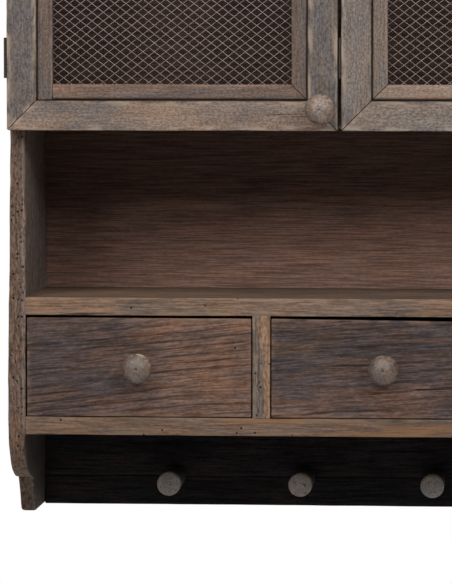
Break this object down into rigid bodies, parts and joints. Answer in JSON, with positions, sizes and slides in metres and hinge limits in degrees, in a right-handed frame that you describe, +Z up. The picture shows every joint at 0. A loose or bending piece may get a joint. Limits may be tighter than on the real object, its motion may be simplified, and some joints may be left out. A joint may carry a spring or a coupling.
{
  "type": "kitchen wall cabinet",
  "caption": "Rustic wooden wall cabinet with wire-net doors over an open niche, a row of small drawers and a rail of hanging pegs underneath.",
  "frame": {"origin": "on the back panel's rear face, on the cabinet's middle line, 0.800 m above its lowest edge", "axes": "+X to the right seen from the front, +Y into the wall, +Z up"},
  "size_m": [1.025, 0.2316, 0.917],
  "materials": {
    "carcass_wood": "weathered brown, worn edges",
    "shelf_wood": "weathered brown with orange streaks",
    "back_wood": "dark reddish brown",
    "rail_wood": "black-brown stain",
    "door_wood": "weathered grey-brown",
    "drawer_wood": "weathered dark brown",
    "tray_wood": "plain unfinished board",
    "knob_wood": "turned, grey-brown",
    "wire_metal": "dull wire",
    "hinge_metal": "blackened metal"
  },
  "bodies": {
    "carcass": {"left_side": "carcass_wood", "right_side": "carcass_wood", "top_board": "carcass_wood", "partition": "carcass_wood", "cabinet_floor": "shelf_wood", "niche_shelf": "shelf_wood", "drawer_floor": "shelf_wood", "drawer_divider_1": "shelf_wood", "drawer_divider_2": "shelf_wood", "drawer_divider_3": "shelf_wood", "back_panel": "back_wood", "peg_rail": "rail_wood", "peg_1": "knob_wood", "peg_2": "knob_wood", "peg_3": "knob_wood", "peg_4": "knob_wood", "peg_5": "knob_wood", "peg_6": "knob_wood", "door_1_lower_hinge_frame_leaf": "hinge_metal", "door_1_upper_hinge_frame_leaf": "hinge_metal", "door_2_lower_hinge_frame_leaf": "hinge_metal", "door_2_upper_hinge_frame_leaf": "hinge_metal", "door_3_lower_hinge_frame_leaf": "hinge_metal", "door_3_upper_hinge_frame_leaf": "hinge_metal"},
    "door_1": {"door_1_left_stile": "door_wood", "door_1_right_stile": "door_wood", "door_1_top_rail": "door_wood", "door_1_bottom_rail": "door_wood", "door_1_net": "wire_metal", "door_1_knob": "knob_wood", "door_1_lower_hinge_door_leaf": "hinge_metal", "door_1_upper_hinge_door_leaf": "hinge_metal"},
    "door_2": {"door_2_left_stile": "door_wood", "door_2_right_stile": "door_wood", "door_2_top_rail": "door_wood", "door_2_bottom_rail": "door_wood", "door_2_net": "wire_metal", "door_2_knob": "knob_wood", "door_2_lower_hinge_door_leaf": "hinge_metal", "door_2_upper_hinge_door_leaf": "hinge_metal"},
    "door_3": {"door_3_left_stile": "door_wood", "door_3_right_stile": "door_wood", "door_3_top_rail": "door_wood", "door_3_bottom_rail": "door_wood", "door_3_net": "wire_metal", "door_3_knob": "knob_wood", "door_3_lower_hinge_door_leaf": "hinge_metal", "door_3_upper_hinge_door_leaf": "hinge_metal"},
    "drawer_1": {"drawer_1_front": "drawer_wood", "drawer_1_tray": "tray_wood", "drawer_1_knob": "knob_wood"},
    "drawer_2": {"drawer_2_front": "drawer_wood", "drawer_2_tray": "tray_wood", "drawer_2_knob": "knob_wood"},
    "drawer_3": {"drawer_3_front": "drawer_wood", "drawer_3_tray": "tray_wood", "drawer_3_knob": "knob_wood"},
    "drawer_4": {"drawer_4_front": "drawer_wood", "drawer_4_tray": "tray_wood", "drawer_4_knob": "knob_wood"}
  },
  "joints": [
    {"name": "door_1_hinge", "type": "hinge", "parent": "carcass", "child": "door_1", "pos_m": [-0.4989, -0.201, -0.158], "axis": [0, 0, -1], "range_deg": [0, 110]},
    {"name": "door_2_hinge", "type": "hinge", "parent": "carcass", "child": "door_2", "pos_m": [-0.1661, -0.201, -0.158], "axis": [0, 0, -1], "range_deg": [0, 90]},
    {"name": "door_3_hinge", "type": "hinge", "parent": "carcass", "child": "door_3", "pos_m": [0.4989, -0.201, -0.158], "axis": [0, 0, 1], "range_deg": [0, 110]},
    {"name": "drawer_1_slide", "type": "slide", "parent": "carcass", "child": "drawer_1", "axis": [0, -1, 0], "range_m": [0, 0.12]},
    {"name": "drawer_2_slide", "type": "slide", "parent": "carcass", "child": "drawer_2", "axis": [0, -1, 0], "range_m": [0, 0.12]},
    {"name": "drawer_3_slide", "type": "slide", "parent": "carcass", "child": "drawer_3", "axis": [0, -1, 0], "range_m": [0, 0.12]},
    {"name": "drawer_4_slide", "type": "slide", "parent": "carcass", "child": "drawer_4", "axis": [0, -1, 0], "range_m": [0, 0.12]}
  ]
}
